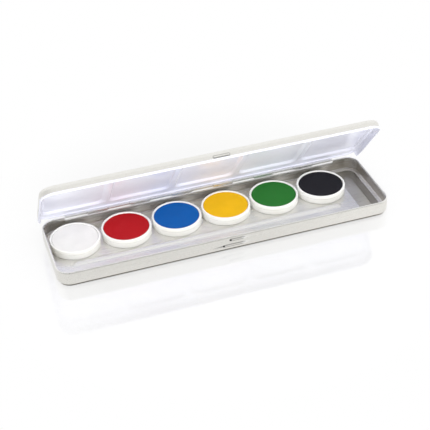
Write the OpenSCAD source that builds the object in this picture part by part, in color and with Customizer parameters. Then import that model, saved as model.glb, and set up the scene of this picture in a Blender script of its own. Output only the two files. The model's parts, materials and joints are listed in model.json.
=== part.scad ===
// Watercolour pan set: a hinged tinplate box with six round pans.
// Origin at the middle of the underside, X along the length, Y towards the hinge, +Z up.

/* [Tin] */
// Outside length of the base tray
tin_l = 204; // [180:1:245]
// Outside width of the base tray
tin_w = 54.4; // [48:0.2:66]
// Height of the base tray
tin_h = 9.9; // [8.4:0.1:12]
// Plan radius of the corners
corner_r = 8; // [6.5:0.1:10]
// Radius of the pressed edge round the underside
foot_edge_r = 1.2; // [0.6:0.1:1.5]
// Thickness of the tinplate
sheet_t = 0.35; // [0.25:0.01:0.45]
// Width of the inward hem on the rim
hem_t = 1; // [0.7:0.1:1.2]
// Height of the inward hem on the rim
hem_h = 2.4; // [1.6:0.1:3]
// Distance from the outside wall to the raised floor panel
panel_inset = 7; // [5:0.1:9]
// Rise of the floor panel above the channel round it
panel_rise = 0.7; // [0.4:0.1:1]
// Plan radius of the corners of the floor panel
panel_r = 5.5; // [3:0.5:8]

/* [Hinge] */
// Number of knuckles on the lid
lid_knuckles = 7; // [3:1:9]
// Length of one lid knuckle
knuckle_l = 13.3; // [10:0.1:14.5]
// Gap between neighbouring knuckles
knuckle_gap = 0.3; // [0.15:0.05:0.5]
// Diameter of the hinge wire
wire_d = 1; // [0.8:0.05:1.2]
// Radial running clearance of the wire in its knuckles
wire_clearance = 0.05; // [0.02:0.01:0.1]
// Distance from the back wall of the tray to the hinge axis
axis_back = 0.6; // [0.6:0.05:0.8]
// Distance from the rim of the tray down to the hinge axis
axis_drop = 0.7; // [0.5:0.05:0.9]
// Clearance between the knuckles and the sheet round them
notch_clearance = 0.15; // [0.1:0.05:0.3]

/* [Lid] */
// Height of the lid from its rim to its top
lid_h = 5.9; // [5.4:0.1:7]
// How far the closed lid reaches down over the tray
lid_overlap = 2.8; // [2:0.1:3.2]
// Side clearance between the closed lid and the tray
lid_clearance = 0.4; // [0.35:0.05:0.6]
// Radius of the top edge of the lid
lid_edge_r = 2; // [1:0.1:2.5]
// Angle at which the lid stands open
open_angle = 51; // [0:1:120]

/* [Palette liner] */
// Thickness of the white liner
liner_t = 0.3; // [0.25:0.01:0.4]
// Height of the rim bead
bead_h = 1.4; // [1.2:0.1:1.8]
// How far the rim bead stands out from the lid shell
bead_out = 0.45; // [0.3:0.05:0.6]
// Number of mixing wells
well_count = 5; // [3:1:6]
// Depth of each mixing well
well_depth = 1.3; // [0.6:0.1:1.5]
// Width of the divider between two wells
divider_w = 4.4; // [3:0.1:6]
// Distance from the lid's side walls to the wells
well_margin = 2.2; // [1.5:0.1:4]
// Distance from the lid's front and back walls to the wells
well_side = 7; // [5:0.1:10]
// Plan radius of the corners of a well
well_r = 4; // [2:0.1:6]

/* [Pan plate] */
// Thickness of the plate under the pans
plate_t = 0.3; // [0.25:0.01:0.4]
// Clearance between the plate and the hem of the tray
plate_clearance = 0.5; // [0.3:0.1:1]
// How far the plate reaches past the last pan
plate_past_pan = 0.5; // [0.3:0.1:3]
// Width of the pressed rib in front of the pans
rib_w = 5.6; // [4:0.1:6.5]
// Height of the pressed rib
rib_h = 1.3; // [0.8:0.1:1.5]
// Distance from the front of the pans to the rib
rib_gap = 0.9; // [0.5:0.1:2]
// Distance from the ends of the pan row to the ends of the rib
rib_inset = 9; // [5:0.5:20]

/* [Pans] */
// Number of pans
pan_count = 6; // [1:1:6]
// Outside diameter of a pan
pan_d = 30; // [25:0.1:30.6]
// Gap between two pans
pan_gap = 1.2; // [0.6:0.1:1.6]
// Height of a pan
pan_h = 5.4; // [4.5:0.1:6.4]
// Wall of a pan at its rim
pan_wall = 1.25; // [0.9:0.05:1.8]
// Floor of a pan
pan_floor = 0.8; // [0.6:0.1:1.2]
// Clearance between the last pan's edge and the end hem
pan_end_clearance = 1.2; // [0.8:0.1:2]
// Clearance between the pans and the back hem
pan_back_clearance = 2; // [0.8:0.1:2.4]
// Height of the paint below the rim of the pan
paint_drop = 0.35; // [0.2:0.05:1]
// Radial clearance of the paint cake in its pan
paint_clearance = 0.05; // [0.02:0.01:0.1]
// Clearance under each pan
pan_seat_clearance = 0.03; // [0.02:0.01:0.1]

/* [Catch] */
// Distance of the catch from the middle of the tin
catch_x = 2; // [-20:1:20]
// Length of the pressed oval on the lid
lid_catch_l = 10.4; // [6:0.1:16]
// Height of the pressed oval on the lid
lid_catch_w = 1.8; // [1.4:0.1:2]
// Length of the upper ridge on the tray
upper_ridge_l = 10; // [6:0.1:16]
// How far to the side of the catch the upper ridge lies
upper_ridge_shift = 2; // [-4:0.5:4]
// Length of the lower ridge on the tray
lower_ridge_l = 14.5; // [8:0.1:22]
// Distance between the two ridges
ridge_pitch = 3.5; // [2.6:0.1:4]
// Radius of the two ridges on the tray
ridge_r = 0.8; // [0.6:0.05:0.9]
// How far the pressed catches stand out
catch_out = 0.3; // [0.2:0.05:0.3]

/* [Hidden] */
$fn = 64;
eps = 0.01;

TINPLATE = [0.80, 0.79, 0.76];
ENAMEL = [0.93, 0.93, 0.95];
PLASTIC = [0.96, 0.96, 0.94];
WIRE = [0.62, 0.62, 0.62];
PAINTS = [
    [0.93, 0.93, 0.92], [0.71, 0.12, 0.14], [0.06, 0.36, 0.68],
    [0.95, 0.71, 0.12], [0.18, 0.49, 0.20], [0.15, 0.15, 0.17]
];

// Hinge
axis_y = tin_w / 2 + axis_back;
axis_z = tin_h - axis_drop;
bore_r = wire_d / 2 + wire_clearance;
knuckle_r = bore_r + sheet_t;
knuckle_pitch = 2 * knuckle_l;
hinge_half_l = (2 * lid_knuckles - 1) * knuckle_l / 2;
notch_z = axis_z - knuckle_r - notch_clearance;

// Lid, in its closed position
rim_z = tin_h - lid_overlap;
lid_top_z = rim_z + lid_h;
liner_in = lid_clearance;
shell_in = liner_in + liner_t;
shell_out = shell_in + sheet_t;
bead_edge = shell_out + bead_out;
shell_foot_z = rim_z + bead_h / 2;
land_z = lid_top_z - sheet_t - liner_t - well_depth;
back_cut_z = axis_z + knuckle_r + notch_clearance;

// Where the lid's rim may start to reach full depth: past this angle of the back corner, a point on
// the inside of the rim swings up past the tray's rim without touching the tray's corner.
function corner_x(a) = (corner_r + liner_in) * sin(a);
function rim_y(a) = tin_w / 2 - corner_r + (corner_r + liner_in) * cos(a);
function tray_y(a) = tin_w / 2 - corner_r + sqrt(max(0, pow(corner_r, 2) - pow(corner_x(a), 2)));
function swing_r2(a) = pow(axis_y - rim_y(a), 2) + pow(axis_z - rim_z, 2);
function swing_y(a) = axis_y - sqrt(max(0, swing_r2(a) - pow(axis_drop, 2)));
free_angles = [for (a = [30 : 1 : 90]) if (swing_y(a) - tray_y(a) > notch_clearance) a];
full_skirt_y = rim_y(len(free_angles) > 0 ? free_angles[0] : 90);

// Pans
panel_z = panel_rise + sheet_t;
plate_z = panel_z + plate_t;
pan_z = plate_z + pan_seat_clearance;
pan_pitch = pan_d + pan_gap;
pan_y = tin_w / 2 - hem_t - pan_back_clearance - pan_d / 2;
first_pan_x = -tin_l / 2 + hem_t + pan_end_clearance + pan_d / 2;
plate_left = -tin_l / 2 + hem_t + plate_clearance;
plate_right = first_pan_x + (pan_count - 1) * pan_pitch + pan_d / 2 + plate_past_pan;
plate_w = tin_w - 2 * (hem_t + plate_clearance);
plate_r = corner_r - hem_t - plate_clearance;
rib_left = first_pan_x - pan_d / 2 + rib_inset;
rib_right = plate_right - plate_past_pan - rib_inset;
rib_y = pan_y - pan_d / 2 - rib_gap - rib_w / 2;
paint_r = pan_d / 2 - pan_wall - paint_clearance;
rim_round = 0.45;
groove_r = 0.12;
groove_z = 0.6 * pan_h;
pan_foot = 0.3;
foot_r = pan_d / 2 - 2 * pan_wall;

// Wells
well_span = tin_l + 2 * liner_in - 2 * well_margin;
well_l = (well_span - (well_count - 1) * divider_w) / well_count;
well_w = tin_w + 2 * liner_in - 2 * well_side;

// A rounded rectangle that stands out from the tray's outline by grow
module outline(grow = 0) {
    r = corner_r + grow;
    l = tin_l + 2 * grow;
    w = tin_w + 2 * grow;
    rounded(l, w, r);
}

module rounded(l, w, r) {
    square([l - 2 * r, w], center = true);
    square([l, w - 2 * r], center = true);
    for (x = [-1, 1], y = [-1, 1]) {
        translate([x * (l / 2 - r), y * (w / 2 - r)]) circle(r);
    }
}

// A block with the tray's outline, upright sides and a rounded edge round its bottom at z = 0
module pressed_block(grow, h, edge) {
    r = corner_r + grow;
    hull() {
        for (x = [-1, 1], y = [-1, 1]) {
            translate([x * (tin_l / 2 + grow - r), y * (tin_w / 2 + grow - r), 0]) {
                rotate_extrude($fn = 48) {
                    intersection() {
                        translate([r - edge, edge]) circle(edge, $fn = 24);
                        square([r, 2 * edge]);
                    }
                }
                translate([0, 0, edge]) cylinder(h = h - edge, r = r, $fn = 48);
            }
        }
    }
}

// One row of knuckles along the hinge axis, each length long
module knuckle_row(count, length) {
    for (i = [0 : count - 1]) {
        translate([(i - (count - 1) / 2) * knuckle_pitch, axis_y, axis_z]) {
            rotate([0, 90, 0]) cylinder(h = length, r = knuckle_r, center = true, $fn = 48);
        }
    }
}

module hinge_bore() {
    translate([0, axis_y, axis_z]) {
        rotate([0, 90, 0]) cylinder(h = 2 * hinge_half_l + 2, r = bore_r, center = true, $fn = 48);
    }
}

// A ridge with round ends that lies along X on a wall that faces -Y at y = wall_y
module ridge(length, r, out, x, z, wall_y) {
    intersection() {
        translate([x, wall_y + r - out, z]) {
            rotate([0, 90, 0]) cylinder(h = length - 2 * r, r = r, center = true, $fn = 32);
            for (s = [-1, 1]) translate([s * (length / 2 - r), 0, 0]) sphere(r, $fn = 32);
        }
        translate([x - length, wall_y - out - eps, z - r]) cube([2 * length, out + sheet_t / 2, 2 * r]);
    }
}

module base_tray() {
    color(TINPLATE) {
        difference() {
            union() {
                difference() {
                    pressed_block(0, tin_h, foot_edge_r);
                    translate([0, 0, sheet_t]) {
                        pressed_block(-sheet_t, tin_h, foot_edge_r - sheet_t);
                    }
                }
                linear_extrude(panel_z) panel_outline(0);
                rim_hem();
                hinge_hem();
            }
            translate([0, 0, -1]) {
                linear_extrude(1 + panel_rise) panel_outline(sheet_t);
            }
            hinge_cut();
        }
        tray_knuckles();
        tray_catch();
    }
}

// The raised panel of the floor, each side smaller by shrink
module panel_outline(shrink) {
    inset = panel_inset + shrink;
    rounded(tin_l - 2 * inset, tin_w - 2 * inset, panel_r - shrink);
}

// Hem that turns in round the rim
module rim_hem() {
    translate([0, 0, tin_h - hem_h]) {
        linear_extrude(hem_h) {
            difference() {
                outline(-sheet_t / 2);
                outline(-hem_t);
            }
        }
    }
}

// Lowered hem on the back wall, under the hinge
module hinge_hem() {
    translate([-hinge_half_l, tin_w / 2 - hem_t, notch_z - hem_h]) {
        cube([2 * hinge_half_l, hem_t - sheet_t / 2, hem_h]);
    }
}

// The rim is cut down along the hinge to make room for the knuckles
module hinge_cut() {
    half = hinge_half_l + knuckle_gap;
    translate([-half, tin_w / 2 - 2 * hem_t, notch_z]) cube([2 * half, 4 * hem_t, tin_h]);
}

// Knuckles that the back wall is rolled into, between those of the lid
module tray_knuckles() {
    length = knuckle_l - 2 * knuckle_gap;
    difference() {
        union() {
            knuckle_row(lid_knuckles - 1, length);
            for (i = [0 : lid_knuckles - 2]) {
                x = (i - (lid_knuckles - 2) / 2) * knuckle_pitch;
                translate([x - length / 2, tin_w / 2 - sheet_t, notch_z - hem_h / 2]) {
                    cube([length, sheet_t, axis_z - notch_z + hem_h / 2]);
                }
            }
        }
        hinge_bore();
    }
}

// Two pressed ridges on the front wall that the thumb pushes on
module tray_catch() {
    upper_z = rim_z + ridge_r / 2;
    ridge(upper_ridge_l, ridge_r, catch_out, catch_x + upper_ridge_shift, upper_z, -tin_w / 2);
    ridge(lower_ridge_l, ridge_r, catch_out, catch_x, upper_z - ridge_pitch, -tin_w / 2);
}

module pan_plate() {
    color(TINPLATE) {
        translate([0, 0, panel_z]) {
            linear_extrude(plate_t) plate_outline();
            difference() {
                rib(rib_h + plate_t, rib_w);
                translate([0, 0, -plate_t]) rib(rib_h + plate_t, rib_w - 2 * plate_t);
                translate([-tin_l / 2, -tin_w / 2, -2 * tin_h]) cube([tin_l, tin_w, 2 * tin_h]);
            }
        }
    }
}

// The plate's outline, with the opening under the rib
module plate_outline() {
    difference() {
        translate([(plate_left + plate_right) / 2, 0]) {
            rounded(plate_right - plate_left, plate_w, plate_r);
        }
        translate([rib_left, rib_y - rib_w / 2 + plate_t]) {
            square([rib_right - rib_left, rib_w - 2 * plate_t]);
        }
    }
}

// A low half round bar with round ends
module rib(h, w) {
    arc_r = (pow(w / 2, 2) + pow(h, 2)) / (2 * h);
    intersection() {
        translate([0, rib_y, h - arc_r]) {
            translate([rib_left + w / 2, 0, 0]) {
                rotate([0, 90, 0]) cylinder(h = rib_right - rib_left - w, r = arc_r);
            }
            for (x = [rib_left + w / 2, rib_right - w / 2]) translate([x, 0, 0]) sphere(arc_r);
        }
        translate([-tin_l / 2, rib_y - w, 0]) cube([tin_l, 2 * w, 2 * h]);
    }
}

module hinge_wire() {
    color(WIRE) {
        translate([0, axis_y, axis_z]) {
            rotate([0, 90, 0]) {
                cylinder(h = 2 * hinge_half_l - 2 * knuckle_gap, d = wire_d, center = true, $fn = 48);
            }
        }
    }
}

// Turns what is drawn in the closed position to the angle at which the lid stands open
module opened() {
    translate([0, axis_y, axis_z]) {
        rotate([-open_angle, 0, 0]) translate([0, -axis_y, -axis_z]) children();
    }
}

// The lid's block upside down: rounded edge on top, rim at z
module lid_block(grow, z, top, edge) {
    translate([0, 0, top]) mirror([0, 0, 1]) pressed_block(grow, top - z, edge);
}

// What is cut from the back of the lid so that it clears the hinge and the tray's back corners
module lid_back_cut() {
    translate([-tin_l, full_skirt_y, rim_z - 1]) {
        cube([2 * tin_l, tin_w, back_cut_z - rim_z + 1]);
    }
}

module lid_shell() {
    color(TINPLATE) {
        opened() {
            difference() {
                lid_block(shell_out, shell_foot_z, lid_top_z, lid_edge_r);
                lid_block(shell_in, shell_foot_z - 1, lid_top_z - sheet_t, lid_edge_r - sheet_t);
                lid_back_cut();
            }
            lid_knuckles();
            lid_catch();
        }
    }
}

// Knuckles rolled from tabs on the lid's back wall
module lid_knuckles() {
    tab_y = tin_w / 2 + shell_in;
    difference() {
        union() {
            knuckle_row(lid_knuckles, knuckle_l);
            for (i = [0 : lid_knuckles - 1]) {
                x = (i - (lid_knuckles - 1) / 2) * knuckle_pitch;
                translate([x - knuckle_l / 2, tab_y, axis_z]) {
                    cube([knuckle_l, sheet_t, back_cut_z - axis_z + 1]);
                }
            }
        }
        hinge_bore();
    }
}

module lid_catch() {
    z = rim_z + bead_h + lid_catch_w / 2 + notch_clearance;
    ridge(lid_catch_l, lid_catch_w / 2, catch_out, catch_x, z, -tin_w / 2 - shell_out);
}

module palette_liner() {
    color(ENAMEL) {
        opened() {
            difference() {
                union() {
                    intersection() {
                        lid_block(shell_in, rim_z, lid_top_z - sheet_t, lid_edge_r - sheet_t);
                        translate([0, 0, rim_z - 1]) {
                            linear_extrude(land_z + liner_t - rim_z + 1) outline(bead_edge);
                        }
                    }
                    wells(liner_t, land_z);
                    rim_bead();
                }
                liner_hollow();
                translate([0, 0, -liner_t]) wells(0, land_z - 1);
                lid_back_cut();
            }
        }
    }
}

// The rolled bead covers the edge of the lid shell
module rim_bead() {
    translate([0, 0, rim_z]) {
        linear_extrude(bead_h / 2) {
            difference() {
                outline(bead_edge);
                outline(liner_in);
            }
        }
        linear_extrude(bead_h) {
            difference() {
                outline(bead_edge);
                outline(shell_out);
            }
        }
    }
}

module liner_hollow() {
    translate([0, 0, rim_z - 1]) linear_extrude(land_z - rim_z + 1) outline(liner_in);
}

// The mixing wells as solid blocks that reach from z to the lid shell, each side wider by grow
module wells(grow, z) {
    for (i = [0 : well_count - 1]) {
        x = (i - (well_count - 1) / 2) * (well_l + divider_w);
        translate([x, 0, z]) {
            linear_extrude(lid_top_z - sheet_t - z) {
                rounded(well_l + 2 * grow, well_w + 2 * grow, well_r + grow);
            }
        }
    }
}

function pan_x(i) = first_pan_x + i * pan_pitch;

// Cup with a rounded rim, a fine line round its side and a recessed underside
module pan(i) {
    r = pan_d / 2;
    color(PLASTIC) {
        translate([pan_x(i), pan_y, pan_z]) {
            difference() {
                rotate_extrude($fn = 96) {
                    difference() {
                        union() {
                            square([r, pan_h - rim_round]);
                            square([r - rim_round, pan_h]);
                            translate([r - rim_round, pan_h - rim_round]) circle(rim_round, $fn = 32);
                        }
                        translate([0, pan_floor]) square([r - pan_wall, pan_h]);
                        translate([r, groove_z]) circle(groove_r, $fn = 16);
                    }
                }
                translate([0, 0, -1]) cylinder(h = 1 + pan_foot, r = foot_r, $fn = 96);
            }
        }
    }
}

module paint(i) {
    h = pan_h - pan_floor - paint_drop;
    color(PAINTS[i]) {
        translate([pan_x(i), pan_y, pan_z + pan_floor]) {
            rotate_extrude($fn = 96) {
                square([paint_r, h - rim_round]);
                square([paint_r - rim_round, h]);
                translate([paint_r - rim_round, h - rim_round]) circle(rim_round, $fn = 32);
            }
        }
    }
}

base_tray();
pan_plate();
hinge_wire();
lid_shell();
palette_liner();
pan(0);  // pan_white
pan(1);  // pan_red
pan(2);  // pan_blue
pan(3);  // pan_yellow
pan(4);  // pan_green
pan(5);  // pan_black
paint(0);  // paint_white
paint(1);  // paint_red
paint(2);  // paint_blue
paint(3);  // paint_yellow
paint(4);  // paint_green
paint(5);  // paint_black
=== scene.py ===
"""Looks of a hinged tinplate watercolour box with six round pans, built over its CAD frame."""
import json
import logging
import math
from dataclasses import dataclass, replace
from enum import Enum
from typing import Callable, Iterable, Sequence

import bpy
from mathutils import Matrix, Vector


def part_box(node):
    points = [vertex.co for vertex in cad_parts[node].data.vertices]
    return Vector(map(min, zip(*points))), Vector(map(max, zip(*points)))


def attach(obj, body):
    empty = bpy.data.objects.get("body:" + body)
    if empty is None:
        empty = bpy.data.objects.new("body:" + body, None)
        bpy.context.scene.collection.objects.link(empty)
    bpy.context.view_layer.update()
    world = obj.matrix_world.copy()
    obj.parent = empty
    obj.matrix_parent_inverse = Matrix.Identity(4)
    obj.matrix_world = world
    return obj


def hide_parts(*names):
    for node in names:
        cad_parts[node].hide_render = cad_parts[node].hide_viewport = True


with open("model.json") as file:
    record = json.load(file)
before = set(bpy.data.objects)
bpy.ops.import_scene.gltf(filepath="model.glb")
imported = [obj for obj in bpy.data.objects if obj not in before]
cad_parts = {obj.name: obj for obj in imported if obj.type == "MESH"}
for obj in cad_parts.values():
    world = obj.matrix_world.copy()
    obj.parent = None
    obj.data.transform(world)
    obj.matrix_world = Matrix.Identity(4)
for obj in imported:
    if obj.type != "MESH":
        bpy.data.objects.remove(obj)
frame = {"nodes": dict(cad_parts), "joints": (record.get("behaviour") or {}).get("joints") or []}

LOG = logging.getLogger("paint_box")
MM = 0.001
WHITE = (1.0, 1.0, 1.0, 1.0)
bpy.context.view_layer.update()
TOUCH = 0.01             # millimetres within which a point counts as lying on a wall
STRAIGHT = 0.99          # how nearly a point's outward direction has to be square to a side

Colour = tuple[float, float, float, float]
Sockets = bpy.types.bpy_prop_collection
EdgePoint = tuple[float, float, float, float]
Height = Callable[[float, float], float]
Form = Callable[[EdgePoint, float, float], tuple[float, float, float]]
# Gives the share of painted shade at a point: darkening laid where shade falls in recesses and round
# pressed marks.
PaintedShade = Callable[[float, float, float], float]


def srgb(red: int, green: int, blue: int) -> Colour:
    """Turns display levels from 0 to 255 into a linear colour.

    Args:
        red: Red level.
        green: Green level.
        blue: Blue level.

    Returns:
        The linear colour with full alpha.
    """
    levels = [value / 255 for value in (red, green, blue)]
    linear = [v / 12.92 if v <= 0.04045 else ((v + 0.055) / 1.055) ** 2.4 for v in levels]
    return (linear[0], linear[1], linear[2], 1.0)


def smooth(value: float) -> float:
    """Eases a value that is held between 0 and 1."""
    held = min(1.0, max(0.0, value))
    return held * held * (3 - 2 * held)


def arc(centre: tuple[float, float], radius: float, start: float, end: float,
        steps: int) -> list[tuple[float, float]]:
    """Gives the points of an arc between two angles in degrees, both ends included."""
    angles = [math.radians(start + (end - start) * k / steps) for k in range(steps + 1)]
    return [(centre[0] + radius * math.cos(a), centre[1] + radius * math.sin(a)) for a in angles]


def spread(start: float, end: float, step: float) -> list[float]:
    """Gives evenly spaced stations from start to end, about step apart, both ends included."""
    count = max(1, round((end - start) / step))
    return [start + (end - start) * k / count for k in range(count + 1)]


def box_mm(node: str) -> tuple[Vector, Vector]:
    """Gives a CAD node's lowest and highest corners in millimetres."""
    low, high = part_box(node)
    return Vector(low) / MM, Vector(high) / MM


# ---------------------------------------------------------------- mesh making

@dataclass(frozen=True)
class Outline:
    """A rounded rectangle whose points keep their order when it grows or shrinks."""

    half_l: float
    half_w: float
    radius: float
    centre_x: float = 0.0
    stops_x: tuple[float, ...] = ()
    stops_y: tuple[float, ...] = ()
    arc_steps: int = 10

    def with_stops(self, stops_x: Iterable[float], stops_y: Iterable[float]) -> "Outline":
        """Adds stations along the straight sides, sorted and kept off the corners.

        Args:
            stops_x: Stations on the long sides, from the middle of the outline.
            stops_y: Stations on the short sides.

        Returns:
            The outline with those stations.
        """
        run_x = self.half_l - self.radius - 0.2
        run_y = self.half_w - self.radius - 0.2
        kept_x = sorted({round(s, 3) for s in stops_x if abs(s) < run_x})
        kept_y = sorted({round(s, 3) for s in stops_y if abs(s) < run_y})
        return replace(self, stops_x=tuple(kept_x), stops_y=tuple(kept_y))

    def grown(self, grow: float, radius: float | None = None) -> "Outline":
        """Moves every side outwards.

        Args:
            grow: Distance, negative to shrink.
            radius: Corner radius, or None for the one that the move gives.

        Returns:
            The new outline.
        """
        new_r = self.radius + grow if radius is None else radius
        scale_x = (self.half_l + grow - new_r) / (self.half_l - self.radius)
        scale_y = (self.half_w + grow - new_r) / (self.half_w - self.radius)
        return replace(
            self, half_l=self.half_l + grow, half_w=self.half_w + grow, radius=new_r,
            stops_x=tuple(s * scale_x for s in self.stops_x),
            stops_y=tuple(s * scale_y for s in self.stops_y))

    def counts(self) -> tuple[int, int]:
        """Gives the number of pieces along a long side and along a short side."""
        base = 2 * self.arc_steps + 1
        return base + len(self.stops_x), base + len(self.stops_y)

    def points(self) -> list[EdgePoint]:
        """Gives each point with its outward direction, from the front left corner round by +X.

        Returns:
            X, y and outward direction of each point.
        """
        run_x = self.half_l - self.radius
        run_y = self.half_w - self.radius
        corners = ((-run_x, -run_y), (run_x, -run_y), (run_x, run_y), (-run_x, run_y))
        found: list[EdgePoint] = []
        for side in range(4):
            first, second = corners[side], corners[(side + 1) % 4]
            turn = 90 * side
            half_arc = 45 / self.arc_steps
            found += [self._on_arc(first, 225 + turn + half_arc * k) for k in range(self.arc_steps + 1)]
            found += self._straight(side)
            found += [self._on_arc(second, 270 + turn + half_arc * k) for k in range(self.arc_steps)]
        return found

    def _on_arc(self, corner: tuple[float, float], degrees: float) -> EdgePoint:
        """Gives the point of a corner's arc at an angle."""
        nx, ny = math.cos(math.radians(degrees)), math.sin(math.radians(degrees))
        return (self.centre_x + corner[0] + self.radius * nx, corner[1] + self.radius * ny, nx, ny)

    def _straight(self, side: int) -> list[EdgePoint]:
        """Gives the stations of one side.

        Args:
            side: 0 for the front, 1 right, 2 back, 3 left.

        Returns:
            The points of that side, in the order of the outline.
        """
        if side == 0:
            return [(self.centre_x + s, -self.half_w, 0.0, -1.0) for s in self.stops_x]
        if side == 1:
            return [(self.centre_x + self.half_l, s, 1.0, 0.0) for s in self.stops_y]
        if side == 2:
            return [(self.centre_x + s, self.half_w, 0.0, 1.0) for s in reversed(self.stops_x)]
        return [(self.centre_x - self.half_l, s, -1.0, 0.0) for s in reversed(self.stops_y)]


@dataclass(frozen=True)
class Bend:
    """One line of a sheet's section: how far it stands out from the outline, and how high it is."""

    grow: float
    z: float
    wear: float = 0.0
    radius: float | None = None
    lines: float = 0.0
    # Share of painted shade laid along the line.
    dull: float = 0.0


def rolled(centre: tuple[float, float], radius: float, start: float, end: float, steps: int,
           **marks: float) -> list[Bend]:
    """Gives the lines of a rounded part of a section, all with the same marks."""
    return [Bend(grow, z, **marks) for grow, z in arc(centre, radius, start, end, steps)]


def upright(grow: float, start: float, end: float, step: float, **marks: float) -> list[Bend]:
    """Gives the lines of an upright part of a section, about step apart, with the same marks."""
    return [Bend(grow, z, **marks) for z in spread(start, end, step)]


class MeshDraft:
    """Collects points and faces in millimetres and turns them into one object in metres."""

    def __init__(self) -> None:
        """Starts an empty draft."""
        self.points: list[tuple[float, float, float]] = []
        self.faces: list[tuple[int, ...]] = []
        self.marks: dict[str, list[float]] = {"wear": [], "crease": [], "lines": []}

    def ring(self, points: Iterable[tuple[float, float, float]], wear: float = 0.0,
             lines: float = 0.0, crease: PaintedShade | None = None) -> list[int]:
        """Adds points that belong together.

        Args:
            points: The points in order.
            wear: How much rubbing the points see, from 0 to 1, with painted highlight on the tin and
                painted shade on the white palette laid in.
            lines: How deep the drawing lines along them are, from 0 to 1.
            crease: Gives the share of painted shade at a point, laid where shade falls.

        Returns:
            Their numbers.
        """
        start = len(self.points)
        self.points.extend(points)
        fresh = self.points[start:]
        self.marks["wear"].extend([wear] * len(fresh))
        self.marks["lines"].extend([lines] * len(fresh))
        self.marks["crease"].extend([crease(*spot) if crease else 0.0 for spot in fresh])
        return list(range(start, start + len(fresh)))

    def skin(self, first: Sequence[int], second: Sequence[int], closed: bool = True) -> None:
        """Joins two rings of the same length with quads.

        Args:
            first: The ring that the section comes from.
            second: The ring that it goes to.
            closed: Whether the rings close on themselves.
        """
        count = len(first)
        for k in range(count if closed else count - 1):
            after = (k + 1) % count
            self.faces.append((first[k], first[after], second[after], second[k]))

    def fan(self, ring: Sequence[int], z: float, upward: bool) -> None:
        """Closes a ring round the vertical axis with one point in its middle.

        Args:
            ring: The ring to close.
            z: Height of the middle point.
            upward: Whether the faces point up.
        """
        count = len(ring)
        middle_x = sum(self.points[k][0] for k in ring) / count
        middle_y = sum(self.points[k][1] for k in ring) / count
        pole = self.ring([(middle_x, middle_y, z)])[0]
        for k in range(count):
            pair = (ring[k], ring[(k + 1) % count])
            self.faces.append((*pair, pole) if upward else (*reversed(pair), pole))

    def patch(self, ring: Sequence[int], outline: Outline, height: Height, upward: bool,
              crease: PaintedShade | None = None) -> None:
        """Fills a ring of an outline with a grid of quads.

        Args:
            ring: The ring's numbers.
            outline: The outline that the ring was made from.
            height: Gives the height of the grid at x, y.
            upward: Whether the faces point up.
            crease: Gives the share of painted shade at a point, or None to go on from the ring.
        """
        # The ring's painted shade carries on into the fill.
        dull, lines = (self.marks[mark][ring[0]] for mark in ("crease", "lines"))
        nx, ny = outline.counts()
        front = list(ring[0:nx + 1])
        right = list(ring[nx:nx + ny + 1])
        back = list(reversed(ring[nx + ny:2 * nx + ny + 1]))
        left = list(reversed(list(ring[2 * nx + ny:]) + [ring[0]]))
        south, east, north, west = ([Vector(self.points[k][:2]) for k in edge]
                                    for edge in (front, right, back, left))
        low, high = west[0], east[ny]
        columns = [left]
        for i in range(1, nx):
            u = (south[i].x - low.x) / (high.x - low.x)
            column = []
            for j in range(1, ny):
                v = (west[j].y - low.y) / (high.y - low.y)
                spot = south[i] * (1 - v) + north[i] * v + west[j] * (1 - u) + east[j] * u
                spot -= (west[0] * (1 - u) + east[0] * u) * (1 - v)
                spot -= (west[ny] * (1 - u) + east[ny] * u) * v
                column.append((spot.x, spot.y, height(spot.x, spot.y)))
            fill = self.ring(column, lines=lines,
                             crease=lambda x, y, z: max(dull, crease(x, y, z) if crease else 0.0))
            columns.append([front[i]] + fill + [back[i]])
        columns.append(right)
        for first, second in zip(columns, columns[1:]):
            for j in range(ny):
                face = (first[j], second[j], second[j + 1], first[j + 1])
                self.faces.append(face if upward else tuple(reversed(face)))

    def finish(self, name: str, place: Matrix | None = None, sharp: float = 40) -> bpy.types.Object:
        """Makes the object, smooth except at sharp edges.

        Args:
            name: Name of the object and its mesh.
            place: Moves the points, in metres, or None.
            sharp: Angle in degrees past which an edge stays sharp.

        Returns:
            The object, at the origin.
        """
        mesh = bpy.data.meshes.new(name)
        mesh.from_pydata([Vector(p) * MM for p in self.points], [], self.faces)
        if place is not None:
            mesh.transform(place)
        for mark, levels in self.marks.items():
            mesh.attributes.new(mark, "FLOAT", "POINT").data.foreach_set("value", levels)
        mesh.shade_smooth()
        mesh.set_sharp_from_angle(angle=math.radians(sharp))
        mesh.validate()
        piece = bpy.data.objects.new(name, mesh)
        bpy.context.scene.collection.objects.link(piece)
        return piece


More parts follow.
